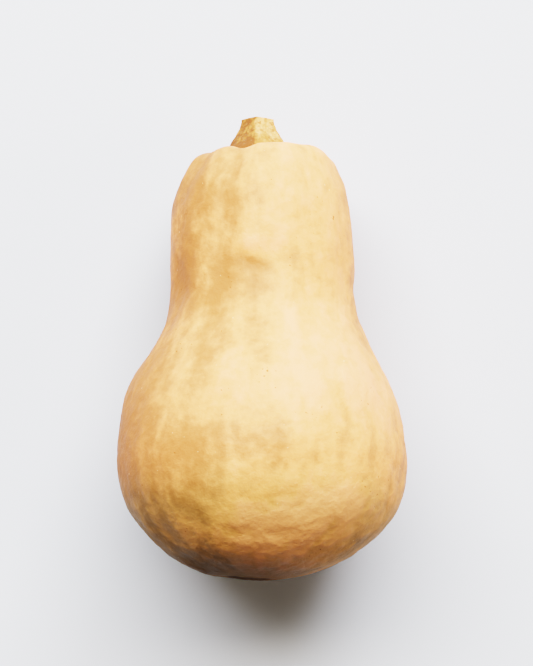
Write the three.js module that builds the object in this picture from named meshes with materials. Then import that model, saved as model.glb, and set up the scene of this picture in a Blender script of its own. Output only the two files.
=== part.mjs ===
// A butternut squash lying on its side on a level surface, as two solids: the fruit and its woody stem.
// Millimetres, +Z up, +Y towards the stem. The origin is on the surface, under the middle of the squash.
//
// Each solid is turned about the squash's own axis. In that local frame +Y runs from the blossom end to the
// stem, +Z is the side that faces up, "station" is the distance along the axis from the blossom end, and
// "bearing" is the angle round the axis from the top, growing towards +X.
import * as THREE from "three";

// ---- Driving dimensions ----
const BULB_RADIUS = 65;
const NECK_RADIUS = 42;
const CREST_STATION = 194.3; // top of the shoulder, round the stem's seat
const SEAT_STATION = 189; // bottom of the seat, where the stem grows from
const SEAT_OFFSET = -1.8; // the stem grows a little to one side of the axis
const FOOT_RADIUS = 15.4; // the stem's flared foot
const STEM_TOP_STATION = 212.5;
const STEM_TOP_RADIUS = 7.95;
const FLAT_DEPTH = 0.9; // how far the skin is flattened where it lies on the surface
const SEAT_GAP = 0.45; // raises the stem clear of the seat's slopes

// Where the underside touches the surface: on the bulb and near the neck's shoulder.
const BULB_CONTACT = { station: 64, radius: 63.9 };
const NECK_CONTACT = { station: 175, radius: 40 };

// Facets of the two solids
const FRUIT_SIDES = 88;
const FRUIT_STEPS_PER_SPAN = 2;
const STEM_SIDES = 40;
const STEM_STEPS_PER_SPAN = 2;

// The bulb is wider than the neck, so the axis leans down towards the stem.
const LEAN = Math.atan2(
  BULB_CONTACT.radius - NECK_CONTACT.radius,
  NECK_CONTACT.station - BULB_CONTACT.station,
);

// Outlines are lists of [radius, station]. This one is the seat, from its rim to its bottom.
const SEAT_OUTLINE = [
  [16.8, 193],
  [12.5, 190.8],
  [7, SEAT_STATION],
  [0, SEAT_STATION],
];

// The fruit, from the blossom end to the bottom of the seat.
const FRUIT_OUTLINE = [
  // the blossom end, rounded and a little dished at the scar
  [0, 0.9],
  [4, 0.5],
  [9, 0.5],
  [24.8, 3.5],
  [38.2, 9],
  [48, 16],
  [56.5, 25],
  [62.5, 36],
  // the bulb
  [BULB_RADIUS, 50],
  [BULB_CONTACT.radius, BULB_CONTACT.station],
  [60.6, 79],
  [54.4, 93],
  [48.2, 105],
  [43.5, 117],
  // the neck
  [NECK_RADIUS - 0.2, 130],
  [NECK_RADIUS, 146],
  [NECK_RADIUS - 0.4, 162],
  [NECK_CONTACT.radius, NECK_CONTACT.station],
  [37, 184.8],
  [33.4, 191.5],
  [28, 194.3],
  [21.5, CREST_STATION],
  ...SEAT_OUTLINE,
];

// Grooves part the skin into lobes. Each has a bearing in degrees along the fruit, another where it runs into
// the seat, and a relative depth.
const GROOVES = [
  { bearing: -62, atSeat: -51, depth: 0.6 },
  { bearing: -25, atSeat: -16, depth: 1.6 },
  { bearing: 30, atSeat: 34, depth: 0.6 },
  { bearing: 61, atSeat: 65, depth: 0.5 },
  { bearing: 99, atSeat: 101, depth: 1 },
  { bearing: 137, atSeat: 133, depth: 0.9 },
  { bearing: 165, atSeat: 167, depth: 0.6 },
  { bearing: 201, atSeat: 204, depth: 0.9 },
  { bearing: 232, atSeat: 239, depth: 0.7 },
  { bearing: 266, atSeat: 275, depth: 1 },
];
const GROOVE_DEPTH = { bulb: 0.5, neck: 0.7, shoulder: 2.4 };
const GROOVE_HALF_WIDTH = { neck: 8, shoulder: 13 }; // degrees

// Broad unevenness of the skin: a few long waves round and along the fruit.
const WAVES = [
  { height: 0.4, round: 2, length: 195, phase: 1.1 },
  { height: 0.35, round: 3, length: -145, phase: 4.0 },
  { height: 0.25, round: 5, length: 88, phase: 2.2 },
  { height: 0.2, round: 7, length: -57, phase: 0.4 },
];

// Single knobs and hollows that show: bearing in degrees, station, radius and height.
const KNOBS = [
  { bearing: 1, station: 150, radius: 9, height: 0.9 },
  { bearing: 3, station: 139, radius: 7, height: -0.7 },
  { bearing: -30, station: 165, radius: 7, height: 0.6 },
  { bearing: 24, station: 163, radius: 8, height: 0.5 },
  { bearing: -66, station: 128, radius: 12, height: -0.9 },
  { bearing: 158, station: 152, radius: 11, height: 0.8 },
  { bearing: 214, station: 118, radius: 13, height: -0.8 },
  // the neck swings a little to the left and its foot bulges to the right
  { bearing: -90, station: 165, radius: 24, height: 0.9 },
  { bearing: 90, station: 165, radius: 24, height: -0.9 },
  { bearing: -90, station: 109, radius: 12, height: -1.8 },
  { bearing: 90, station: 128, radius: 7, height: -0.9 },
  { bearing: 90, station: 109, radius: 14, height: 1.2 },
  // corner on the bulb's left shoulder, and the blossom end sags to the left
  { bearing: -90, station: 87, radius: 11, height: 1.6 },
  { bearing: -90, station: 17, radius: 9, height: -1.2 },
  { bearing: -80, station: 5, radius: 15, height: 1.1 },
  { bearing: 75, station: 7, radius: 12, height: -0.6 },
  // the shoulder's lobes differ in height
  { bearing: -35, station: 194, radius: 9, height: -0.8 },
  { bearing: 9, station: 194, radius: 8, height: -1.3 },
  { bearing: 52, station: 194, radius: 13, height: 1.4 },
];

// The stem, from the rim of its foot up the flare to the cut end.
const STEM_FLARE = [
  [FOOT_RADIUS, 193.8],
  [15.2, 195.6],
  [14.1, 198.2],
  [12.8, 201.1],
  [11.1, 204],
  [9.5, 206.8],
  [8.4, 209.7],
  [STEM_TOP_RADIUS, STEM_TOP_STATION],
];
const STEM_RIDGES = 5;
const STEM_RIDGE_BEARING = -4; // degrees
const STEM_RIDGE_STRENGTH = 0.75; // 0 is a round stem, 1 a sharp five-sided one
const STEM_CUT_SLOPE = -0.06; // the cut end isn't quite square

const { smoothstep, lerp, degToRad, radToDeg } = THREE.MathUtils;

// The angle between two bearings, the short way round, in degrees.
function bearingBetween(a, b) {
  return THREE.MathUtils.euclideanModulo(a - b + 180, 360) - 180;
}

function grooveDepth(bearing, station, radius) {
  const onShoulder = smoothstep(station, 165, 192);
  const { bulb, neck, shoulder } = GROOVE_DEPTH;
  const depth =
    bulb * smoothstep(station, 15, 70) +
    (neck - bulb) * smoothstep(station, 90, 130) +
    (shoulder - neck) * onShoulder;
  const halfWidth = lerp(GROOVE_HALF_WIDTH.neck, GROOVE_HALF_WIDTH.shoulder, onShoulder);
  let share = 0;
  for (const groove of GROOVES) {
    const middle = lerp(groove.bearing, groove.atSeat, onShoulder);
    const off = bearingBetween(bearing, middle) / halfWidth;
    share += groove.depth * Math.exp(-off * off);
  }
  return depth * share * smoothstep(radius, 14, 24);
}

function waveHeight(bearing, station, radius) {
  const turn = degToRad(bearing);
  let height = 0;
  for (const wave of WAVES) {
    const along = (2 * Math.PI * station) / wave.length;
    height += wave.height * Math.sin(wave.round * turn + along + wave.phase);
  }
  return height * smoothstep(radius, 16, 36);
}

function knobHeight(bearing, station, radius) {
  let height = 0;
  for (const knob of KNOBS) {
    const across = degToRad(bearingBetween(bearing, knob.bearing)) * radius;
    const off = Math.hypot(across, station - knob.station) / knob.radius;
    height += knob.height * Math.exp(-off * off);
  }
  return height * smoothstep(radius, 14, 24);
}

// How far the skin stands out from the plain turned form.
function skinRelief(bearing, station, radius) {
  return (
    waveHeight(bearing, station, radius) +
    knobHeight(bearing, station, radius) -
    grooveDepth(bearing, station, radius)
  );
}

// The surface that the squash lies on, as a plane in the local frame.
function restingPlane() {
  const up = new THREE.Vector3(0, -Math.sin(LEAN), Math.cos(LEAN));
  const touch = new THREE.Vector3(0, BULB_CONTACT.station, -BULB_CONTACT.radius);
  return new THREE.Plane(up, -up.dot(touch) - FLAT_DEPTH);
}

// Points along the smooth curve through an outline.
function smoothOutline(outline, stepsPerSpan) {
  const curve = new THREE.SplineCurve(outline.map(([r, s]) => new THREE.Vector2(r, s)));
  return curve.getPoints((outline.length - 1) * stepsPerSpan);
}

// A closed solid turned from an outline, with every vertex then moved by a function of itself and its normal.
function turnedSolid(points, sides, shape) {
  const geometry = new THREE.LatheGeometry(points, sides);
  const { position, normal } = geometry.attributes;
  const vertex = new THREE.Vector3();
  const outward = new THREE.Vector3();
  for (let i = 0; i < position.count; i++) {
    vertex.fromBufferAttribute(position, i);
    outward.fromBufferAttribute(normal, i);
    shape(vertex, outward);
    position.setXYZ(i, vertex.x, vertex.y, vertex.z);
  }
  geometry.computeVertexNormals();
  return geometry;
}

// The seat and the stem stand off the axis. The shift fades out over the shoulder.
function seatShift(radius, station) {
  const onShoulder = smoothstep(station, SEAT_STATION - 5, SEAT_STATION - 1);
  return SEAT_OFFSET * onShoulder * (1 - smoothstep(radius, 16, 24));
}

function fruitGeometry(ground) {
  const points = smoothOutline(FRUIT_OUTLINE, FRUIT_STEPS_PER_SPAN);
  return turnedSolid(points, FRUIT_SIDES, (vertex, outward) => {
    const radius = Math.hypot(vertex.x, vertex.z);
    const bearing = radToDeg(Math.atan2(vertex.x, vertex.z));
    const shift = seatShift(radius, vertex.y);
    vertex.addScaledVector(outward, skinRelief(bearing, vertex.y, radius));
    vertex.x += shift;
    const depth = -ground.distanceToPoint(vertex);
    if (depth > 0) vertex.addScaledVector(ground.normal, depth);
  });
}

// The stem's outline: the seat's, raised clear of it, then the flare, then straight across the cut.
function stemOutline() {
  const underside = SEAT_OUTLINE.slice(1).map(([r, s]) => [r, s + SEAT_GAP]);
  const side = smoothOutline([...underside.reverse(), ...STEM_FLARE], STEM_STEPS_PER_SPAN);
  const acrossCut = [0.6, 0].map((share) => {
    return new THREE.Vector2(share * STEM_TOP_RADIUS, STEM_TOP_STATION);
  });
  return [...side, ...acrossCut];
}

// Radius of a regular polygon with a corner at bearing 0, as a share of its corner radius.
function polygonShare(bearing, corners) {
  const half = 180 / corners;
  const off = THREE.MathUtils.euclideanModulo(bearing, 2 * half) - half;
  return Math.cos(degToRad(half)) / Math.cos(degToRad(off));
}

function stemGeometry() {
  const foot = STEM_FLARE[0][1];
  return turnedSolid(stemOutline(), STEM_SIDES, (vertex) => {
    const bearing = radToDeg(Math.atan2(vertex.x, vertex.z)) - STEM_RIDGE_BEARING;
    const ridged = STEM_RIDGE_STRENGTH * smoothstep(vertex.y, foot, foot + 8);
    const scale = 1 + ridged * (polygonShare(bearing, STEM_RIDGES) - 1);
    vertex.x *= scale;
    vertex.z *= scale;
    const cut = smoothstep(vertex.y, foot + 8, STEM_TOP_STATION);
    vertex.y += cut * STEM_CUT_SLOPE * vertex.z;
    vertex.x += SEAT_OFFSET;
  });
}

function namedMesh(name, geometry, color, roughness) {
  const material = new THREE.MeshStandardMaterial({ color, roughness, metalness: 0 });
  const mesh = new THREE.Mesh(geometry, material);
  mesh.name = name;
  return mesh;
}

// Stands the local frame on the surface: the axis leans, the resting plane becomes Z = 0, and the origin
// comes to the middle of the squash's outline in plan.
function layDown(ground, meshes) {
  const leaning = new THREE.Group();
  leaning.add(...meshes);
  leaning.rotation.x = -LEAN;
  leaning.position.z = ground.constant;
  const squash = new THREE.Group();
  squash.add(leaning);
  const centre = new THREE.Box3().setFromObject(squash, true).getCenter(new THREE.Vector3());
  leaning.position.x = -centre.x;
  leaning.position.y = -centre.y;
  return squash;
}

const ground = restingPlane();
const fruit = namedMesh("fruit", fruitGeometry(ground), 0xe2b878, 0.45);
const stem = namedMesh("stem", stemGeometry(), 0xb08a58, 0.8);

export default layDown(ground, [fruit, stem]);
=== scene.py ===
# %% [markdown]
# # A butternut squash lying on its side
#
# A butternut squash is a grown thing in two pieces. The fruit is one solid of flesh and rind: a round bulb
# at the blossom end and a straight neck. The stem is the dry, ridged stalk that it hung from. The frame
# loaded here holds both as plain solids, at their real size and in their real place. This lesson makes a
# finer skin for each of them, gives it a finish, and sets up a small studio.

import math

import bmesh
import bpy
from mathutils import Matrix, Vector, noise
from mathutils.geometry import interpolate_bezier


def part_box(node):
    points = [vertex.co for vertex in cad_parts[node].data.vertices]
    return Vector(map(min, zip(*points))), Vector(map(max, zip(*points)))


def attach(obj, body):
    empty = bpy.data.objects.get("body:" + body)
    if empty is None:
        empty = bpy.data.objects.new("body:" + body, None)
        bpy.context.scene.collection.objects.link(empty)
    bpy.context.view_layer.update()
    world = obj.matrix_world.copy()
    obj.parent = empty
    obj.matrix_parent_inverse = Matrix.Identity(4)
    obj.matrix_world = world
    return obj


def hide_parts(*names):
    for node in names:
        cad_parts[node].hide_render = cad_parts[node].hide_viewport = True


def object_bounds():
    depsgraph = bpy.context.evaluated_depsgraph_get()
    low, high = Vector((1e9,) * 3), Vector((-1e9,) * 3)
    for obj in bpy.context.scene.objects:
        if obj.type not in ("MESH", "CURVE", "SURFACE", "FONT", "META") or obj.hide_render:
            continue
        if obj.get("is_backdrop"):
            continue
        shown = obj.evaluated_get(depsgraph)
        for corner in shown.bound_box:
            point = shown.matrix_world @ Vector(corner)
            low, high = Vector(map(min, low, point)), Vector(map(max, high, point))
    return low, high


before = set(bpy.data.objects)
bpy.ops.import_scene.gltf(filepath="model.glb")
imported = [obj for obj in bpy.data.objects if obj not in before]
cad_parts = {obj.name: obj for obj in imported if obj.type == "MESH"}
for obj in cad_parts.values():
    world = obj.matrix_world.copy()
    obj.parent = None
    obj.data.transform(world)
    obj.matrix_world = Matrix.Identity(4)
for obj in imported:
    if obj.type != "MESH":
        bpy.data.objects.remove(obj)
cad_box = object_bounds()
print("solids:", sorted(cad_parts))
print("box:", [tuple(round(1000 * v) for v in corner) for corner in cad_box], "mm")

# %% [markdown]
# ## The camera
#
# The camera comes first, because it says how much of the surface has to be covered and how fine the skin
# has to be. It hangs above the squash and looks straight down, with the stem at the top of the picture. A
# long lens from most of a metre away keeps the bulb from looming over the neck.

# %% Hang the camera over the squash
CAMERA_PLACE = (0.002, 0.0055, 0.865)
CAMERA_LENS, SENSOR_HEIGHT = 96.8, 36  # millimetres

camera_data = bpy.data.cameras.new("overhead")
camera_data.sensor_fit = "VERTICAL"
camera_data.sensor_height = SENSOR_HEIGHT
camera_data.lens = CAMERA_LENS
camera = bpy.data.objects.new("overhead_camera", camera_data)
camera.location = CAMERA_PLACE
bpy.context.scene.collection.objects.link(camera)
bpy.context.scene.camera = camera
print("camera at", CAMERA_PLACE, "looking straight down")

# %% [markdown]
# ## The outline of the fruit
#
# A squash is close to a turned form, like a bowl on a lathe, so it starts as half an outline that is spun
# about the fruit's axis. A sphere pushed into shape would also do, but its points would crowd at the wrong
# places. The outline is a list of radius and station, where the station is the distance along the axis
# from the blossom end. It is written in millimetres, because those are the numbers a maker measures.
#
# Bezier spans through the points make it smooth. A handle a sixth of the way between a point's neighbours
# gives the curve that passes through every point without a corner.

# %% Draw the outline of the fruit
SEAT_OUTLINE = [(16.8, 193), (12.5, 190.8), (7, 189), (0, 189)]
FRUIT_OUTLINE = [
    # the blossom end
    (0, 0.9), (4, 0.5), (9, 0.5), (24.8, 3.5), (38.2, 9), (48, 16), (56.5, 25), (62.5, 36),
    # the bulb
    (65, 50), (63.9, 64), (60.6, 79), (54.4, 93), (48.2, 105), (43.5, 117),
    # the neck and its shoulder
    (41.8, 130), (42, 146), (41.6, 162), (40, 175), (37, 184.8), (33.4, 191.5), (28, 194.3), (21.5, 194.3),
] + SEAT_OUTLINE


def smooth_line(knots, steps=12):
    """Points along the smooth curve through knots, each a (radius, station) pair."""
    knots = [Vector((radius, station, 0)) for radius, station in knots]
    points = []
    for i, (start, end) in enumerate(zip(knots, knots[1:])):
        before = knots[max(i - 1, 0)]
        after = knots[min(i + 2, len(knots) - 1)]
        handles = start + (end - before) / 6, end - (after - start) / 6
        points += interpolate_bezier(start, *handles, end, steps + 1)[:-1]
    return points + [knots[-1]]


def evenly_spaced(points, spacing):
    """The same line with a point about every `spacing` and its two ends kept."""
    lengths = [(end - start).length for start, end in zip(points, points[1:])]
    count = round(sum(lengths) / spacing)
    step = sum(lengths) / count
    kept = [points[0]]
    travelled = 0
    for start, end, length in zip(points, points[1:], lengths):
        while len(kept) < count and travelled + length >= step * len(kept):
            kept.append(start.lerp(end, (step * len(kept) - travelled) / length))
        travelled += length
    return kept + [points[-1]]


FRUIT_SPACING = 1.05  # millimetres between the rings of the skin
fruit_line = evenly_spaced(smooth_line(FRUIT_OUTLINE), FRUIT_SPACING)
print("the fruit's outline has", len(fruit_line), "points")

# %% [markdown]
# ## Spinning a skin
#
# The spin operator turns the outline through a full circle. A Screw modifier would do that too, but here
# the points are needed at once, to be moved. The spin leaves a heap of doubled points at each pole, where
# the outline touches the axis, so those are merged before the faces are told which way is out.

# %% Spin a closed skin
def turned_skin(line, sides):
    """A closed skin spun about Y from a line of (radius, station) that starts and ends on that axis."""
    skin = bmesh.new()
    rail = [skin.verts.new((0, point.y, point.x)) for point in line]
    rail += [skin.edges.new(pair) for pair in zip(rail, rail[1:])]
    bmesh.ops.spin(
        skin, geom=rail, cent=(0, 0, 0), axis=(0, 1, 0), dvec=(0, 0, 0),
        angle=math.tau, steps=sides, use_merge=True, use_duplicate=False,
    )
    bmesh.ops.remove_doubles(skin, verts=skin.verts, dist=1e-5)
    bmesh.ops.recalc_face_normals(skin, faces=skin.faces)
    skin.normal_update()
    return skin


FRUIT_SIDES = 320
fruit_skin = turned_skin(fruit_line, FRUIT_SIDES)
print("the fruit's skin has", len(fruit_skin.faces), "faces")

# %% [markdown]
# ## Lobes, waves and knobs
#
# No squash is truly round. Three formulas move each point of the skin in or out. Sculpting by hand would do
# as well, but the plain solid in the frame is shaped by the same formulas, and so the fine skin fits it.
#
# The first formula makes the lobes. Grooves run from the seat along the neck and part it. They are deep at
# the shoulder and all but gone on the bulb. A bearing is the angle round the axis: 0 is the top of the
# squash, and 90 is its right. Close to the axis a form would crowd into a point, so it fades out there.

# %% Write the lobes
GROOVES = [
    # bearing round the axis in degrees, bearing where it runs into the seat, relative depth
    (-62, -51, 0.6), (-25, -16, 1.6), (30, 34, 0.6), (61, 65, 0.5), (99, 101, 1.0),
    (137, 133, 0.9), (165, 167, 0.6), (201, 204, 0.9), (232, 239, 0.7), (266, 275, 1.0),
]
GROOVE_DEPTH_BULB, GROOVE_DEPTH_NECK, GROOVE_DEPTH_SHOULDER = 0.5, 0.7, 2.4
GROOVE_HALF_WIDTH_NECK, GROOVE_HALF_WIDTH_SHOULDER = 8, 13  # degrees
BLOSSOM_END_TO_BULB, BULB_TO_NECK, NECK_TO_SHOULDER = (15, 70), (90, 130), (165, 192)  # stations
FORM_SETS_IN = (14, 24)  # millimetres from the axis


def smoothstep(value, low, high):
    share = min(max((value - low) / (high - low), 0), 1)
    return share * share * (3 - 2 * share)


def bearing_between(a, b):
    return (a - b + 180) % 360 - 180


def groove_share(bearing, station):
    """How far into a groove a point lies: 0 on a lobe, the groove's relative depth at its bottom."""
    on_shoulder = smoothstep(station, *NECK_TO_SHOULDER)
    half_width = GROOVE_HALF_WIDTH_NECK
    half_width += (GROOVE_HALF_WIDTH_SHOULDER - half_width) * on_shoulder
    share = 0
    for along, at_seat, depth in GROOVES:
        middle = along + (at_seat - along) * on_shoulder
        off = bearing_between(bearing, middle) / half_width
        if abs(off) < 3:
            share += depth * math.exp(-off * off)
    return share


def groove_depth(station, radius):
    """How deep a groove of relative depth 1 is, in millimetres."""
    depth = GROOVE_DEPTH_BULB * smoothstep(station, *BLOSSOM_END_TO_BULB)
    depth += (GROOVE_DEPTH_NECK - GROOVE_DEPTH_BULB) * smoothstep(station, *BULB_TO_NECK)
    depth += (GROOVE_DEPTH_SHOULDER - GROOVE_DEPTH_NECK) * smoothstep(station, *NECK_TO_SHOULDER)
    return depth * smoothstep(radius, *FORM_SETS_IN)


print("a groove is", round(groove_depth(150, 42), 2), "mm deep on the neck and",
      round(groove_depth(192, 33), 2), "mm on the shoulder")

# %% [markdown]
# The second formula adds a few long waves, which take the lathe-like evenness away. The third adds single
# knobs and hollows at listed places.

# %% Write the waves and knobs
WAVES = [
    # height, waves round the fruit, length along it, phase
    (0.4, 2, 195, 1.1), (0.35, 3, -145, 4.0), (0.25, 5, 88, 2.2), (0.2, 7, -57, 0.4),
]
WAVES_SET_IN = (16, 36)  # millimetres from the axis

KNOBS = [
    # bearing, station, radius, height
    (1, 150, 9, 0.9), (3, 139, 7, -0.7), (-30, 165, 7, 0.6), (24, 163, 8, 0.5),
    (-66, 128, 12, -0.9), (158, 152, 11, 0.8), (214, 118, 13, -0.8),
    # the neck swings a little to the left and its foot bulges to the right
    (-90, 165, 24, 0.9), (90, 165, 24, -0.9), (-90, 109, 12, -1.8), (90, 128, 7, -0.9), (90, 109, 14, 1.2),
    # a corner on the bulb's left shoulder, and the blossom end sags to the left
    (-90, 87, 11, 1.6), (-90, 17, 9, -1.2), (-80, 5, 15, 1.1), (75, 7, 12, -0.6),
    # the shoulder's lobes differ in height
    (-35, 194, 9, -0.8), (9, 194, 8, -1.3), (52, 194, 13, 1.4),
]


def wave_height(bearing, station, radius):
    turn = math.radians(bearing)
    height = 0
    for high, round_count, length, phase in WAVES:
        height += high * math.sin(round_count * turn + math.tau * station / length + phase)
    return height * smoothstep(radius, *WAVES_SET_IN)


def knob_height(knobs, bearing, station, radius):
    height = 0
    for knob_bearing, knob_station, knob_radius, knob_high in knobs:
        if abs(station - knob_station) < 3 * knob_radius:
            across = math.radians(bearing_between(bearing, knob_bearing)) * radius
            off = math.hypot(across, station - knob_station) / knob_radius
            height += knob_high * math.exp(-off * off)
    return height * smoothstep(radius, *FORM_SETS_IN)


print("the waves add up to", round(sum(wave[0] for wave in WAVES), 2), "mm at most,",
      "and the highest knob has", max(knob[3] for knob in KNOBS), "mm")

# %% [markdown]
# ## The finer relief of the rind
#
# Up close the rind is uneven at smaller scales. Lumps the size of a thumbprint catch the light on the neck,
# and a few bumps and dents sit among them. Lower down, dimples between thin ridges, and pits, make the bulb
# look hammered. They could be painted on as bump, but as real geometry they show at the outline and in the
# mesh. Only a faint grain is left to the finish.
#
# Noise makes the lumps, dimples and pits. Reading it at a place that other noise has pulled aside, the
# swirl, keeps the ridges from running straight. The swirl needs a set seed to be the same on every run.

# %% Write the finer relief
LUMP_SIZE, LUMP_HEIGHT = 8.5, 0.34
DIMPLE_SIZE, DIMPLE_HEIGHT = 6.5, 0.23
PIT_SIZE, PIT_HEIGHT = 2.6, 0.1
SWIRL_SIZE, SWIRL_REACH = 9, 2.5
HAMMERED_BELOW, SMOOTH_ABOVE = 40, 95  # stations between which the hammered look fades out
FINE_RELIEF_SETS_IN = (14, 26)  # millimetres from the axis
NOISE_SEED = 8
noise.seed_set(NOISE_SEED)

DENTS = [
    # bearing, station, radius, height
    # a raised pad on the neck with a crescent of dents below it
    (-5, 141, 6.5, 1.1), (-12, 137, 3.4, -0.65), (-6, 133.5, 3.4, -0.65), (2, 133, 3.4, -0.5),
    # soft hollows on the left of the neck's foot
    (-57, 129, 7, -0.5), (-32, 121, 4, -0.35),
    # low bumps
    (-29, 157, 4, 0.3), (12, 145, 4, 0.3), (16, 109, 5, 0.3),
]


def fine_relief(place, station):
    """How far the lumps, dimples and pits raise a point, in millimetres."""
    lumps = noise.noise(place / LUMP_SIZE) + 0.5 * noise.noise(place / (0.45 * LUMP_SIZE))
    swirled = place + SWIRL_REACH * noise.noise_vector(place / SWIRL_SIZE)
    # noise folded at zero makes thin ridges, with the dimples between them
    dimples = 0.4 - abs(noise.noise(swirled / DIMPLE_SIZE))
    dimples -= 0.5 * abs(noise.noise(swirled * 2.3 / DIMPLE_SIZE))
    pits = noise.noise(swirled / PIT_SIZE)
    hammered = 1 - 0.85 * smoothstep(station, HAMMERED_BELOW, SMOOTH_ABOVE)
    hammering = DIMPLE_HEIGHT * dimples + PIT_HEIGHT * pits
    return LUMP_HEIGHT * (1 - 0.2 * hammered) * lumps + hammered * hammering


sample = [fine_relief(Vector((0, station, 40)), station) for station in range(10, 180)]
print("the relief runs from", round(min(sample), 2), "to", round(max(sample), 2), "mm along one line")

# %% [markdown]
# ## The seat's place
#
# The stem doesn't grow quite on the axis, so its seat, the sunken end of the neck, is moved a little to the
# left. Bending the whole neck would move it too, but the shoulder round it is true to the axis. The shift
# fades out on the way from the seat to the shoulder.

# %% Shift the seat
SEAT_OFFSET = -1.8
SEAT_STATION = 189
SEAT_EDGE = (16, 24)  # radii between which the shift fades out


def seat_shift(station, radius):
    """How far a point goes to the right with the seat, in millimetres."""
    at_seat = smoothstep(station, SEAT_STATION - 5, SEAT_STATION - 1)
    return SEAT_OFFSET * at_seat * (1 - smoothstep(radius, *SEAT_EDGE))


print("the seat's middle moves by", seat_shift(SEAT_STATION, 0), "mm")

# %% [markdown]
# ## Where the rind is pale and where it is deep
#
# One number per point, called the tone, says how pale the rind is: low is deep ochre and high is pale cream.
# The left side is deeper, partly in the rind's own tone and partly as painted shade on the side away from
# the lamps on the right, and the right edge is deeper with painted shade. A belt round the widest part of
# the bulb is deeper too, and hollows and grooves are deeper and lumps paler, which is painted shade and
# painted highlight following the relief. Single marks and bands are listed one by one, and a few of them are
# painted highlights and shadows. An image painted by hand could do the same, but numbers stored on the
# points need no file and no unwrapping, and the finish can mix them with noise of its own.

# %% Write the tone of the rind
TONE_MARKS = [
    # bearing, station, half width, half length, change of tone
    # the neck and its foot
    # the first mark is a painted highlight: a broad pale patch on the bulb where the lamps shine
    (15, 82, 10, 24, 0.2), (-29, 157, 4, 4, 0.15), (12, 145, 4, 9, 0.15), (16, 109, 3, 6, 0.2),
    # the mark at bearing -5 and station 143 is a painted highlight on top of the raised pad
    (-5, 143, 7, 7, 0.1), (-57, 129, 7, 8, -0.4), (-33, 122, 6, 3, -0.2), (-47, 147, 5, 24, -0.14),
    # the marks at stations 138 and 134.5 here and at station 133 on the next line paint the shadow in a
    # crescent below the pad
    (-24, 124, 4, 17, -0.14), (-12, 138, 2.6, 3, -0.22), (-7, 134.5, 3.4, 2.4, -0.25),
    (1, 133, 4.5, 2.2, -0.22), (17, 137, 9, 5, -0.14), (28, 120, 16, 50, 0.14), (-9, 130, 14, 13, -0.26),
    (-66, 112, 10, 12, 0.12), (-72, 152, 12, 16, 0.15), (-22, 140, 7, 24, -0.1), (-50, 133, 6, 9, -0.2),
    (8, 126, 16, 16, -0.1), (-12, 168, 6, 18, -0.22), (18, 168, 5, 14, 0.1),
    # the bulb
    (48, 76, 22, 20, 0.3), (62, 60, 22, 22, 0.15), (-34, 86, 13, 22, 0.16), (-20, 70, 12, 12, 0.12),
    (8, 66, 16, 9, 0.1), (-48, 52, 14, 11, 0.18), (-36, 42, 10, 8, 0.16), (-33, 47, 16, 14, -0.06),
    (-62, 62, 20, 26, -0.1), (-41, 94, 10, 22, 0.14), (-26, 66, 10, 10, 0.1), (-47, 86, 5, 10, -0.16),
    (0, 50, 30, 9, -0.12), (4, 31, 32, 7, -0.26),
    # round the blossom end
    (30, 20, 26, 24, 0.25), (15, 29, 30, 8, 0.28), (5, 17, 22, 8, 0.3), (28, 24, 13, 8, 0.1),
    (52, 13, 20, 9, -0.3), (-36, 18, 11, 7, 0.22), (-32, 25, 13, 6, -0.1), (-13, 16, 9, 6, -0.16),
    # soft bands that run along the bulb
    (27, 92, 3.5, 16, -0.16), (-1, 96, 3, 20, -0.15), (-31, 96, 3, 20, -0.16), (-43, 84, 3, 18, -0.14),
    (-20, 98, 3.5, 18, -0.1), (38, 84, 3, 14, -0.1),
]
EVEN_TONE = 0.58
LEFT_TONE_AND_SHADE, RIGHT_EDGE_SHADE = 0.42, 0.1  # how much deeper the left side (its own tone and painted shade) and the right edge (painted shade) are
BELT_STATION, BELT_WIDTH, BELT_DEPTH = 52, 17, 0.2
FLOW_RADIUS = 40  # millimetres, so that a streak is as wide as it would be on the neck
TONE_SWIRL_SIZE, TONE_SWIRL_REACH = 11, 3.5  # the reach pulls the marks out of shape


def skin_tone(place, bearing, station, radius, share, raised):
    """How pale the rind is at a point, from about 0 to 1."""
    swirl = TONE_SWIRL_REACH * noise.noise_vector(place / TONE_SWIRL_SIZE)
    station += swirl.y
    bearing += math.degrees(swirl.x / FLOW_RADIUS)
    across = math.sin(math.radians(bearing))
    # painted shade: the left side is darker, partly its own tone, and so is the right edge
    tone = EVEN_TONE - LEFT_TONE_AND_SHADE * smoothstep(-across, 0.2, 0.9) - RIGHT_EDGE_SHADE * smoothstep(across, 0.7, 1)
    tone += 0.06 * smoothstep(radius, 12, 30) * (1 - smoothstep(station, 25, 60))
    tone -= BELT_DEPTH * math.exp(-(((station - BELT_STATION) / BELT_WIDTH) ** 2))
    # painted shade in the hollows and grooves, and painted highlight on the lumps
    tone += 0.3 * raised - 0.1 * share
    for mark_bearing, mark_station, width, length, change in TONE_MARKS:
        if abs(station - mark_station) < 2.5 * length:
            off_across = math.radians(bearing_between(bearing, mark_bearing)) * radius / width
            off_along = (station - mark_station) / length
            tone += change * math.exp(-off_across * off_across - off_along * off_along)
    return tone


print(len(TONE_MARKS), "marks change the tone, the strongest by", max(abs(mark[4]) for mark in TONE_MARKS))

# %% [markdown]
# ## Lying on the surface
#
# The bulb is thicker than the neck, so on a flat surface the axis leans down towards the stem until the
# bulb and the end of the neck both touch. The skin is pressed flat at both, over a spot about the size of
# a coin. A hard cut would leave a sharp rim, so the height above the surface is bent smoothly towards zero.

# %% Press two spots flat
BULB_CONTACT = Vector((0, 64, -63.9))
NECK_CONTACT = Vector((0, 175, -40))
FLAT_DEPTH = 0.9
FLAT_SOFTNESS = 0.35
LEAN = math.atan2(NECK_CONTACT.z - BULB_CONTACT.z, NECK_CONTACT.y - BULB_CONTACT.y)
UP = Vector((0, -math.sin(LEAN), math.cos(LEAN)))
GROUND_LEVEL = UP.dot(BULB_CONTACT) + FLAT_DEPTH


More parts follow.
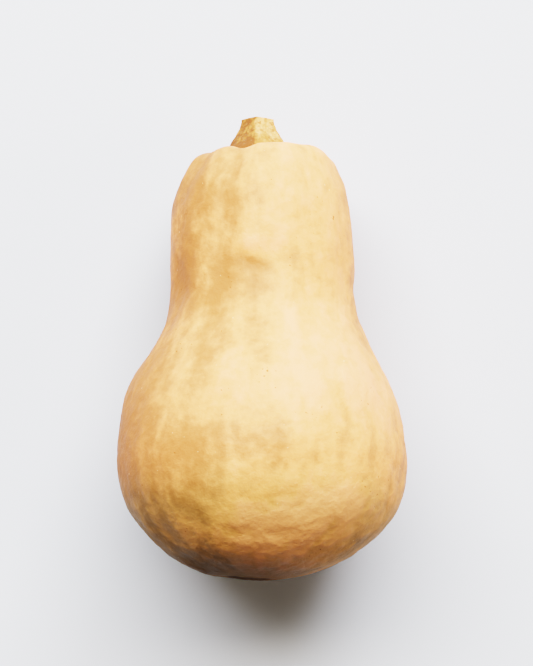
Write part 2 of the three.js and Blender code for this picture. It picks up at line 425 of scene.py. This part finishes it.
def settled(place):
    """A point of the skin, lifted where it would sink into the surface."""
    height = UP.dot(place) - GROUND_LEVEL
    return place + UP * ((math.hypot(height, FLAT_SOFTNESS) - height) / 2)


print("the axis leans", round(math.degrees(LEAN), 1), "degrees")

# %% [markdown]
# ## Shaping the fruit
#
# Every point now moves out along its normal by the sum of the formulas. The seat's points go aside, and
# those that would sink into the surface are lifted. Two things are stored on the points for the finish: the
# tone, and the flow, which is a place on an even tube round the axis. Noise that is read along the flow
# makes streaks that run from the blossom end to the stem, wherever the skin narrows or widens.

# %% Shape the fruit
FLOW_SWIRL_SIZE, FLOW_SWIRL_REACH = 16, 4  # the reach lets a streak wander from its line

flow = fruit_skin.verts.layers.float_vector.new("skin_flow")
tone = fruit_skin.verts.layers.float.new("tone")

for vert in fruit_skin.verts:
    radius = math.hypot(vert.co.x, vert.co.z)
    bearing = math.degrees(math.atan2(vert.co.x, vert.co.z))
    station = vert.co.y
    share = groove_share(bearing, station)
    form = wave_height(bearing, station, radius) + knob_height(KNOBS, bearing, station, radius)
    form -= share * groove_depth(station, radius)
    raised = fine_relief(vert.co, station) + knob_height(DENTS, bearing, station, radius)
    raised *= smoothstep(radius, *FINE_RELIEF_SETS_IN)
    turn = math.radians(bearing)
    straight = Vector((FLOW_RADIUS * math.sin(turn), FLOW_RADIUS * math.cos(turn), station))
    vert[flow] = straight + FLOW_SWIRL_REACH * noise.noise_vector(vert.co / FLOW_SWIRL_SIZE)
    vert[tone] = skin_tone(vert.co, bearing, station, radius, share, raised)
    shift = Vector((seat_shift(station, radius), 0, 0))
    vert.co = settled(vert.co + vert.normal * (form + raised) + shift)
tones = [vert[tone] for vert in fruit_skin.verts]
print("the tone runs from", round(min(tones), 2), "to", round(max(tones), 2))

# %% [markdown]
# ## Into the frame
#
# The frame is in metres. One matrix scales the skin down from millimetres, leans it and sets it on the
# surface. Its place along the surface is read from the frame: the skin goes where the box of the plain
# fruit has its middle. Moving the object would be simpler, but the export puts every object at the origin,
# where its pattern would slide. So the mesh itself is moved, and the object stays at the origin, unturned.

# %% Lay the fruit down
MM = 0.001


def box_middle(low, high):
    return (Vector(low) + Vector(high)) / 2


def skin_box(skin):
    low = [min(vert.co[axis] for vert in skin.verts) for axis in range(3)]
    high = [max(vert.co[axis] for vert in skin.verts) for axis in range(3)]
    return Vector(low), Vector(high)


lie_down = Matrix.Rotation(-LEAN, 4, "X") @ Matrix.Scale(MM, 4)
lie_down = Matrix.Translation((0, 0, -GROUND_LEVEL * MM)) @ lie_down
bmesh.ops.transform(fruit_skin, matrix=lie_down, verts=fruit_skin.verts)
aside = box_middle(*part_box("fruit")) - box_middle(*skin_box(fruit_skin))
aside.z = 0
bmesh.ops.translate(fruit_skin, vec=aside, verts=fruit_skin.verts)
in_place = Matrix.Translation(aside) @ lie_down
print("moved by", tuple(round(v / MM, 2) for v in aside), "mm")

# %% [markdown]
# The bmesh now becomes the mesh of an object. The spin may start each four-sided face at another corner on
# each run, so the faces are first cut in two along the shorter way across, which makes the same triangles
# every time.

# %% Finish the fruit's mesh
def finished_piece(name, skin):
    """Turns a bmesh into a smooth-shaded object at the origin."""
    bmesh.ops.triangulate(skin, faces=skin.faces, quad_method="SHORT_EDGE")
    mesh = bpy.data.meshes.new(name)
    for face in skin.faces:
        face.smooth = True
    skin.to_mesh(mesh)
    skin.free()
    piece = bpy.data.objects.new(name, mesh)
    bpy.context.scene.collection.objects.link(piece)
    return piece


fruit = finished_piece("ripe_fruit", fruit_skin)
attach(fruit, "root")
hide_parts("fruit")
print("the fruit has", len(fruit.data.polygons), "triangles")

# %% [markdown]
# ## The stem
#
# The stem is a dry stalk that flares into a foot, which fills the seat between the lobes. A cylinder could
# be scaled ring by ring, but the flare is easier to draw as an outline, so the stem is turned like the
# fruit. The outline runs out along the underside, up the foot and the flare, and back along the cut.

# %% Turn the stem
SEAT_GAP = 0.45
FOOT_STATION = 193.8
STEM_TOP_STATION, STEM_TOP_RADIUS = 212.5, 7.95
STEM_FLARE = [
    (15.4, FOOT_STATION), (15.2, 195.6), (14.1, 198.2), (12.8, 201.1), (11.1, 204), (9.5, 206.8),
    (8.4, 209.7), (STEM_TOP_RADIUS, STEM_TOP_STATION),
]
STEM_SPACING = 0.4
STEM_SIDES = 220

underside = [(radius, station + SEAT_GAP) for radius, station in reversed(SEAT_OUTLINE[1:])]
stem_side = smooth_line(underside + STEM_FLARE)
cut_line = [stem_side[-1], Vector((0, STEM_TOP_STATION, 0))]
stem_line = evenly_spaced(stem_side, STEM_SPACING) + evenly_spaced(cut_line, STEM_SPACING)[1:]
stem_skin = turned_skin(stem_line, STEM_SIDES)
print("the stem's skin has", len(stem_skin.faces), "faces")

# %% [markdown]
# A butternut's stem has five ridges. Its round section is drawn in between them until it is nearly
# five-sided. Where it was cut, the soft pith has dried and shrunk below the woody wall.

# %% Write the ridges and the pith
STEM_RIDGES = 5
STEM_RIDGE_BEARING = -4
STEM_RIDGE_STRENGTH = 0.75


def polygon_share(bearing, corners):
    """The radius of a regular polygon with a corner at bearing 0, as a share of its corner radius."""
    half = math.pi / corners
    off = math.radians(bearing) % (2 * half) - half
    return math.cos(half) / math.cos(off)


def pith_depth(rim_share):
    """How far the cut end has sunk, in millimetres: a shallow dish with a deeper hole in its middle."""
    dish = 0.5 * (1 - smoothstep(rim_share, 0.3, 0.85))
    return dish + 0.9 * (1 - smoothstep(rim_share, 0.06, 0.22))


print("the middle of the cut has sunk by", round(pith_depth(0), 1), "mm")

# %% [markdown]
# Fine cords run down the sides of the stem, with corky warts among them. Its cut slopes a little. A number
# on each point, 0 at the middle of the cut and 1 at its rim, shapes the pith and later paints it.

# %% Shape the stem
STEM_CUT_SLOPE = -0.06
STEM_FLOW_RADIUS = 10
CORD_RADIUS, CORD_HEIGHT = 4.5, 0.2  # the noise is read round a tube: a wider one gives more cords
WART_SIZE, WART_HEIGHT = 2.2, 0.22
BEYOND_RIM = 2  # the number kept on points that aren't on the cut, where the rim has 1

stem_flow = stem_skin.verts.layers.float_vector.new("skin_flow")
to_rim = stem_skin.verts.layers.float.new("to_rim")

for vert in stem_skin.verts:
    bearing = math.degrees(math.atan2(vert.co.x, vert.co.z)) - STEM_RIDGE_BEARING
    station = vert.co.y
    radius = math.hypot(vert.co.x, vert.co.z)
    turn = math.radians(bearing)
    vert[stem_flow] = (STEM_FLOW_RADIUS * math.sin(turn), STEM_FLOW_RADIUS * math.cos(turn), station)
    on_cut = station > STEM_TOP_STATION - 0.01
    vert[to_rim] = radius / STEM_TOP_RADIUS if on_cut else BEYOND_RIM
    on_side = 0 if on_cut else smoothstep(station, FOOT_STATION - 2, FOOT_STATION + 1)
    ridged = STEM_RIDGE_STRENGTH * smoothstep(station, FOOT_STATION, FOOT_STATION + 8)
    share = 1 + ridged * (polygon_share(bearing, STEM_RIDGES) - 1)
    cords = noise.noise(Vector((CORD_RADIUS * math.sin(turn), CORD_RADIUS * math.cos(turn), station * 0.05)))
    warts = noise.noise(vert.co / WART_SIZE) + 0.5 * noise.noise(vert.co)
    vert.co += vert.normal * on_side * (CORD_HEIGHT * cords + WART_HEIGHT * warts)
    if on_cut:
        vert.co.y -= pith_depth(vert[to_rim]) + 0.12 * warts * (1 - smoothstep(vert[to_rim], 0.85, 1))
    vert.co.x *= share
    vert.co.z *= share
    vert.co.y += smoothstep(station, FOOT_STATION + 8, STEM_TOP_STATION) * STEM_CUT_SLOPE * vert.co.z
    vert.co.x += SEAT_OFFSET
on_the_cut = sum(vert[to_rim] < BEYOND_RIM for vert in stem_skin.verts)
print(on_the_cut, "of the stem's", len(stem_skin.verts), "points lie on the cut")

# %% [markdown]
# The faces of the cut end get a second finish, so they are numbered 1 and the rest keep 0. The matrix that
# laid the fruit down puts the stem in its seat.

# %% Set the stem in its seat
for face in stem_skin.faces:
    face.material_index = int(all(vert[to_rim] < BEYOND_RIM for vert in face.verts))
bmesh.ops.transform(stem_skin, matrix=in_place, verts=stem_skin.verts)
stem = finished_piece("dry_stem", stem_skin)
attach(stem, "root")
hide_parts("stem")
print("the stem has", len(stem.data.polygons), "triangles")

# %% [markdown]
# ## A way to write finishes
#
# A finish is a small net of shader nodes. Placing each node by hand makes long code, so two helpers do it.
# The first, `Value`, wraps a socket, and a sum that is written with it adds Math nodes.

# %% Make a helper for sums
class Value:
    """A number inside a finish, which Python's arithmetic turns into Math nodes."""

    def __init__(self, finish, socket):
        self.finish = finish
        self.socket = socket

    def maths(self, operation, *numbers):
        return self.finish.add("ShaderNodeMath", {"operation": operation}, dict(enumerate(numbers)))

    def __add__(self, other):
        return self.maths("ADD", self, other)

    def __sub__(self, other):
        return self.maths("SUBTRACT", self, other)

    def __rsub__(self, other):
        return self.maths("SUBTRACT", other, self)

    def __mul__(self, other):
        return self.maths("MULTIPLY", self, other)

    __radd__ = __add__
    __rmul__ = __mul__


print("a Value can be added, subtracted and multiplied")

# %% [markdown]
# The second, `Finish`, is one material. Its `add` makes any other node from its type, its settings and what
# goes into its sockets, and the rest of its methods are short names for the nodes that are used often.

# %% Make a helper for nodes
class Finish:
    """One material and the nodes that make it."""

    def __init__(self, name):
        self.material = bpy.data.materials.new(name)
        self.material.use_nodes = True
        self.tree = self.material.node_tree
        self.tree.nodes.clear()

    def add(self, kind, settings=None, sockets=None, output=0):
        """A new node, with its settings made before its sockets are filled."""
        node = self.tree.nodes.new(kind)
        for name, setting in (settings or {}).items():
            setattr(node, name, setting)
        for name, value in (sockets or {}).items():
            if isinstance(value, Value):
                self.tree.links.new(value.socket, node.inputs[name])
            else:
                node.inputs[name].default_value = value
        return Value(self, node.outputs[output]) if node.outputs else None

    def place(self):
        """Where a point is on the object, in metres."""
        return self.add("ShaderNodeTexCoord", output="Object")

    def attribute(self, name, output):
        return self.add("ShaderNodeAttribute", {"attribute_name": name}, output=output)

    def scaled(self, vector, scale):
        return self.add("ShaderNodeVectorMath", {"operation": "MULTIPLY"}, {0: vector, 1: scale})

    def noise(self, vector, scale, detail=3, roughness=0.5):
        """Cloudy noise from about 0.2 to 0.8, whose clouds are about 1 / scale across."""
        sockets = {"Vector": vector, "Scale": scale, "Detail": detail, "Roughness": roughness}
        return self.add("ShaderNodeTexNoise", {}, sockets)

    def ramp(self, value, low, high):
        """0 at low, 1 at high and smooth between. Low may be the larger of the two."""
        sockets = {"Value": value, "From Min": low, "From Max": high}
        return self.add("ShaderNodeMapRange", {"interpolation_type": "SMOOTHSTEP"}, sockets)

    def mix(self, share, first, second):
        """A colour between two colours."""
        sockets = {"Factor": share, 6: first, 7: second}
        return self.add("ShaderNodeMix", {"data_type": "RGBA"}, sockets, output=2)

    def part(self, vector, letter):
        """The X, Y or Z of a vector."""
        return self.add("ShaderNodeSeparateXYZ", {}, {"Vector": vector}, output=letter)

    def distance(self, vector, spot):
        sockets = {0: vector, 1: spot}
        return self.add("ShaderNodeVectorMath", {"operation": "DISTANCE"}, sockets, output="Value")

    def bump(self, height, distance):
        return self.add("ShaderNodeBump", {}, {"Height": height, "Distance": distance})

    def surface(self, sockets):
        """Ends the net with a shader and gives back the finished material."""
        shader = self.add("ShaderNodeBsdfPrincipled", {}, sockets)
        self.add("ShaderNodeOutputMaterial", {}, {"Surface": shader})
        return self.material


print("a Finish can", [name for name in vars(Finish) if not name.startswith("_")])

# %% [markdown]
# Colours are written as on a paint chart, because such codes are easy to compare. Shaders want them linear,
# so each part of the code is converted.

# %% Mix the paints
def paint(code):
    """The linear colour for six hex digits."""
    parts = [int(code[i:i + 2], 16) / 255 for i in (0, 2, 4)]
    return tuple(p / 12.92 if p < 0.04045 else ((p + 0.055) / 1.055) ** 2.4 for p in parts) + (1,)


DEEP_OCHRE, TAN, WARM_TAN, CREAM = paint("A46D46"), paint("C28157"), paint("E89564"), paint("FC9E75")
print("tan is", [round(v, 2) for v in TAN[:3]], "in linear values")

# %% [markdown]
# ## The rind
#
# A ripe rind is tan with a cloudy cream bloom, and its markings come in several sizes. Clouds a few
# centimetres across lie under blotches as wide as a finger and a fine mottle. Soft bands follow the way the
# fruit grew, from the blossom end to the stem, so they are drawn along the flow stored on the skin. All of
# these are added to the tone of the point, and the sum picks the colour. One noise of many octaves would be
# shorter, but then the sizes couldn't be weighed against each other.

# %% Paint the rind
rind = Finish("squash_rind")
here = rind.place()
along_skin = rind.attribute("skin_flow", "Vector")

clouds = rind.noise(here, 26, detail=2)
blotches = rind.noise(here, 85, detail=3, roughness=0.6)
mottle = rind.noise(here, 260, detail=3, roughness=0.6)
bands = rind.noise(rind.scaled(along_skin, (0.1, 0.1, 0.018)), 1, detail=2)
streaks = rind.noise(rind.scaled(along_skin, (0.2, 0.2, 0.022)), 1, detail=2)
marking = 0.4 * clouds + 0.5 * blotches + 0.55 * mottle + 0.5 * bands + 0.5 * streaks
MEAN_MARKING = 1.235  # taken off the sum, so that on average the tone alone picks the colour
# the tone carries the rind's own paleness together with painted shade and painted highlight
tone_and_painted_light = rind.attribute("tone", "Fac") + marking - MEAN_MARKING

colour = rind.mix(rind.ramp(tone_and_painted_light, 0.0, 0.4), DEEP_OCHRE, TAN)
colour = rind.mix(rind.ramp(tone_and_painted_light, 0.25, 0.6), colour, WARM_TAN)
colour = rind.mix(rind.ramp(tone_and_painted_light, 0.5, 0.95), colour, CREAM)
print("markings in five sizes, in", len(rind.tree.nodes), "nodes so far")

# %% [markdown]
# Towards the blossom end, which faces away from the lamps, the rind is painted darker and yellower than on
# the rest: painted shade. Another paint laid over it would hide the markings, so the colour is multiplied
# instead, which keeps them.

# %% Darken the blossom end with painted shade
BLOSSOM_END_SHADE = (0.67, 0.95, 0.9)
BLOSSOM_SHADE_ABOVE, BLOSSOM_SHADE_BELOW = 52, 22  # stations between which the painted shade sets in
station_here = rind.part(along_skin, "Z")
# painted shade: the colour is made darker and yellower towards the blossom end
blossom_shaded = rind.scaled(colour, BLOSSOM_END_SHADE)
colour = rind.mix(rind.ramp(station_here, BLOSSOM_SHADE_ABOVE, BLOSSOM_SHADE_BELOW), colour, blossom_shaded)
print("the weathering sets in", BLOSSOM_SHADE_ABOVE, "mm from the blossom end")

# %% [markdown]
# Small blemishes come on top. Brown specks gather in loose groups, and pale flecks are scattered. Only the
# highest tips of a fine noise become a speck, and a coarser noise added to it lifts them in groups.

# %% Add the specks and flecks
groups = rind.noise(here, 45, detail=1)
specks = rind.noise(here, 620, detail=1)
speckled = rind.ramp(specks + 0.5 * groups, 1.05, 1.1)
colour = rind.mix(0.75 * speckled, colour, paint("7A4A22"))
flecks = rind.noise(here, 700, detail=0)
colour = rind.mix(0.35 * rind.ramp(flecks, 0.86, 0.9), colour, paint("F7DDB8"))
print("with specks and flecks the rind has", len(rind.tree.nodes), "nodes")

# %% [markdown]
# The blossom leaves a dark corky scar at the bottom of the bulb with browned rind round it, and the rind
# browns where it meets the stem. Both are found by their distance from a point, which comes from the
# shaping above. Painting them by number on the points would do too, but a scar's edge is finer than the
# faces. Adding noise to a distance makes the edge ragged.

# %% Add the blossom scar and the browned seat
SCAR_EDGE, BROWNED_RIND, BROWNED_SEAT = (0.0125, 0.0075), (0.044, 0.014), (0.0205, 0.0165)  # metres

blossom_scar = in_place @ Vector((-6, 0, -2))
ragged = 0.012 * (blotches - 0.5) + 0.006 * (mottle - 0.5)
from_scar = rind.distance(here, blossom_scar) + ragged
browned_end = rind.ramp(from_scar + 0.03 * (clouds - 0.5), *BROWNED_RIND)
colour = rind.mix(0.8 * browned_end, colour, paint("6E4D20"))
colour = rind.mix(0.8 * rind.ramp(from_scar, *SCAR_EDGE), colour, paint("4E3520"))

stem_seat = in_place @ Vector((SEAT_OFFSET, SEAT_STATION + 4, 0))
from_seat = rind.distance(here, stem_seat) + 0.004 * (blotches - 0.5)
colour = rind.mix(0.8 * rind.ramp(from_seat, *BROWNED_SEAT), colour, paint("8A5A2C"))
print("the scar's middle is at", tuple(round(v / MM) for v in blossom_scar), "mm")

# %% [markdown]
# The rind is satin, a little rougher on the blotches and rough on the scar. The mottle stands out a trifle,
# and grain and pores too fine for the mesh are added to it in a bump. A trace of light passes under the
# skin, which softens the edges of the shadows.

# %% Give the rind its surface
grain = rind.noise(here, 520, detail=3, roughness=0.6)
pores = rind.noise(here, 1400, detail=2)
rind_finish = rind.surface({
    "Base Color": colour,
    "Roughness": 0.5 + 0.15 * rind.ramp(blotches, 0.35, 0.65) + 0.3 * rind.ramp(from_scar, 0.013, 0.008),
    "Specular IOR Level": 0.16,
    "Normal": rind.bump(0.5 * mottle + 0.3 * grain + 0.15 * pores, 0.0004),
    "Subsurface Weight": 0.07,
    "Subsurface Radius": (0.004, 0.0025, 0.0014),
    "Subsurface Scale": 1,
})
fruit.data.materials.append(rind_finish)
print("the rind has", len(rind.tree.nodes), "nodes")

# %% [markdown]
# ## The stem's finish
#
# A cut stem dries to straw and brown cork. Its fibres run lengthways, so part of the colour is drawn along
# the stem's own flow. The right side is paler than the left, which is painted light from the lamps on the
# right. The foot is browner, and brown warts and grey flecks of dead skin lie over all of it. A wood texture
# would give rings, which a stalk doesn't have.

# %% Paint the stem
cork = Finish("dry_cork")
on_cork = cork.place()
along_stem = cork.attribute("skin_flow", "Vector")
fibres = cork.noise(cork.scaled(along_stem, (0.5, 0.5, 0.12)), 1, detail=2)
cork_blotches = cork.noise(on_cork, 260, detail=3, roughness=0.65)
# painted light: the right side of the stem is paler
pale_and_lit_side = cork.ramp(cork.part(along_stem, "X"), -2, 1)
at_foot = cork.ramp(cork.part(along_stem, "Z"), FOOT_STATION + 11, FOOT_STATION + 4)
dryness_and_light = 0.5 * fibres + 1.2 * cork_blotches - 0.68 + 0.38 * pale_and_lit_side - 0.3 * at_foot

cork_colour = cork.mix(cork.ramp(dryness_and_light, 0.0, 0.3), paint("744A2A"), paint("A0703F"))
cork_colour = cork.mix(cork.ramp(dryness_and_light, 0.25, 0.75), cork_colour, paint("D29B6B"))
brown_warts = cork.noise(on_cork, 420, detail=2)
cork_colour = cork.mix(0.7 * cork.ramp(brown_warts, 0.53, 0.66), cork_colour, paint("7A4E2A"))
grey_flecks = cork.noise(on_cork, 900, detail=1)
cork_colour = cork.mix(0.4 * cork.ramp(grey_flecks, 0.58, 0.75), cork_colour, paint("7A6A56"))
cork_finish = cork.surface({
    "Base Color": cork_colour,
    "Roughness": 0.85,
    "Specular IOR Level": 0.3,
    "Normal": cork.bump(fibres + 0.6 * cork_blotches, 0.0005),
})
stem.data.materials.append(cork_finish)
print("the stem's finish has", len(cork.tree.nodes), "nodes")

# %% [markdown]
# ## The cut end of the stem
#
# The cut shows how the stalk is built: a brown bark, a straw-coloured woody wall with a ring of darker
# bundles that once carried the sap, and a spongy pith that has browned round the hole in its middle. Each
# is a band of the number that grows from the middle to the rim, with a wobble that keeps it from being
# round.

# %% Paint the cut end
cut = Finish("cut_wood")
on_cut_end = cut.place()
cut_grain = cut.noise(on_cut_end, 700, detail=3, roughness=0.6)
wobble = 0.14 * (cut.noise(on_cut_end, 330, detail=1) - 0.5)
wobbly = cut.attribute("to_rim", "Fac") + wobble

cut_colour = cut.mix(cut.ramp(cut_grain, 0.3, 0.7), paint("B98A58"), paint("DDB584"))
bundles = cut.ramp(wobbly, 0.52, 0.6) * cut.ramp(wobbly, 0.78, 0.7)
cut_colour = cut.mix(0.6 * bundles * cut.ramp(cut_grain, 0.4, 0.55), cut_colour, paint("7C5530"))
cut_colour = cut.mix(0.8 * cut.ramp(wobbly, 0.34, 0.1), cut_colour, paint("5E3F24"))
cut_colour = cut.mix(0.8 * cut.ramp(wobbly, 0.87, 0.95), cut_colour, paint("855730"))
cut_finish = cut.surface({
    "Base Color": cut_colour,
    "Roughness": 0.9,
    "Specular IOR Level": 0.3,
    "Normal": cut.bump(cut_grain, 0.0006),
})
stem.data.materials.append(cut_finish)
print("the cut end's finish has", len(cut.tree.nodes), "nodes")

# %% [markdown]
# ## The studio
#
# The squash lies on a pale floor. A wide lamp stands beyond the stem, so that the shadow falls towards the
# blossom end. A second wide lamp above it is warmer: it reaches further into the shadow, which therefore
# turns warm towards the squash. A low lamp and a weak one on the right keep that side bright, and a dim
# room fills the rest. Bare sunlight would be simpler, but its hard shadows would hide the relief.
#
# The paper of the floor is a little blue, so under the warm lamps it comes out neutral. In front of the
# squash it slowly darkens, which keeps it from throwing too much light up at the blossom end.

# %% Lay the floor
FLOOR_SIZE = 24
FLOOR_DARK_BEFORE, FLOOR_PALE_AFTER = -0.5, -0.15  # metres along Y

floor_skin = bmesh.new()
bmesh.ops.create_grid(floor_skin, x_segments=1, y_segments=1, size=FLOOR_SIZE / 2)
floor = finished_piece("studio_floor", floor_skin)
floor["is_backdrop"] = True

paper = Finish("pale_paper")
paleness = paper.ramp(paper.part(paper.place(), "Y"), FLOOR_DARK_BEFORE, FLOOR_PALE_AFTER)
floor_colour = paper.mix(paleness, paint("606977"), paint("B9C9E1"))
floor.data.materials.append(paper.surface({"Base Color": floor_colour, "Roughness": 0.9}))
print("the floor is", FLOOR_SIZE, "m wide")

# %% [markdown]
# Each lamp is a soft box, placed by its direction from the squash. The colours are given as shares of red,
# green and blue, and the strengths in watts.

# %% Light the squash
LAMP_DISTANCE = 2.4
WARM, WARMER = (1, 0.9, 0.8), (1, 0.79, 0.58)


def softbox(name, azimuth, elevation, size, watts, colour):
    """A lamp of the given width and height in metres that faces the squash. Azimuth 0 is beyond the stem."""
    turn, rise = math.radians(azimuth), math.radians(elevation)
    direction = Vector((math.sin(turn) * math.cos(rise), math.cos(turn) * math.cos(rise), math.sin(rise)))
    lamp_data = bpy.data.lights.new(name, "AREA")
    lamp_data.shape = "RECTANGLE"
    lamp_data.size, lamp_data.size_y = size
    lamp_data.energy = watts
    lamp_data.color = colour
    lamp = bpy.data.objects.new(name, lamp_data)
    lamp.location = direction * LAMP_DISTANCE
    lamp.rotation_euler = direction.to_track_quat("Z", "Y").to_euler()
    bpy.context.scene.collection.objects.link(lamp)
    return lamp


lamps = [
    softbox("key_lamp", azimuth=-5, elevation=50, size=(3.0, 0.9), watts=142, colour=WARM),
    softbox("high_lamp", azimuth=-5, elevation=62, size=(3.0, 0.6), watts=64, colour=WARMER),
    softbox("low_lamp", azimuth=20, elevation=24, size=(0.9, 0.9), watts=43, colour=WARM),
    softbox("side_lamp", azimuth=95, elevation=32, size=(0.9, 0.9), watts=16, colour=WARMER),
]
for lamp in lamps:
    print(lamp.name, "at", [round(v, 2) for v in lamp.location])

# %% [markdown]
# The room gives the shadows their last bit of light, where no lamp reaches. The view transform says how
# light becomes a colour on the screen. Filmic lets bright spots fade softly to white, where the plain one
# would clip them, and its strongest contrast keeps the rind from looking faded.

# %% Dim the room and choose the view
ROOM_COLOUR, ROOM_STRENGTH = (1, 0.7, 0.38, 1), 0.04

room = bpy.data.worlds.new("dim_room")
room.use_nodes = True
room_light = room.node_tree.nodes["Background"]
room_light.inputs["Color"].default_value = ROOM_COLOUR
room_light.inputs["Strength"].default_value = ROOM_STRENGTH
bpy.context.scene.world = room
bpy.context.scene.view_settings.view_transform = "Filmic"
bpy.context.scene.view_settings.look = "Very High Contrast"
print("the room shines at", ROOM_STRENGTH)

# %% [markdown]
# ## The two boxes
#
# The finer skins should fill the same box as the plain solids, so both boxes are printed.

# %% Write the boxes and finish
finished_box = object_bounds()
boxes = {"cad": [list(corner) for corner in cad_box], "visual": [list(corner) for corner in finished_box]}
for name, (low, high) in boxes.items():
    print(name, [round((b - a) / MM, 1) for a, b in zip(low, high)], "mm")
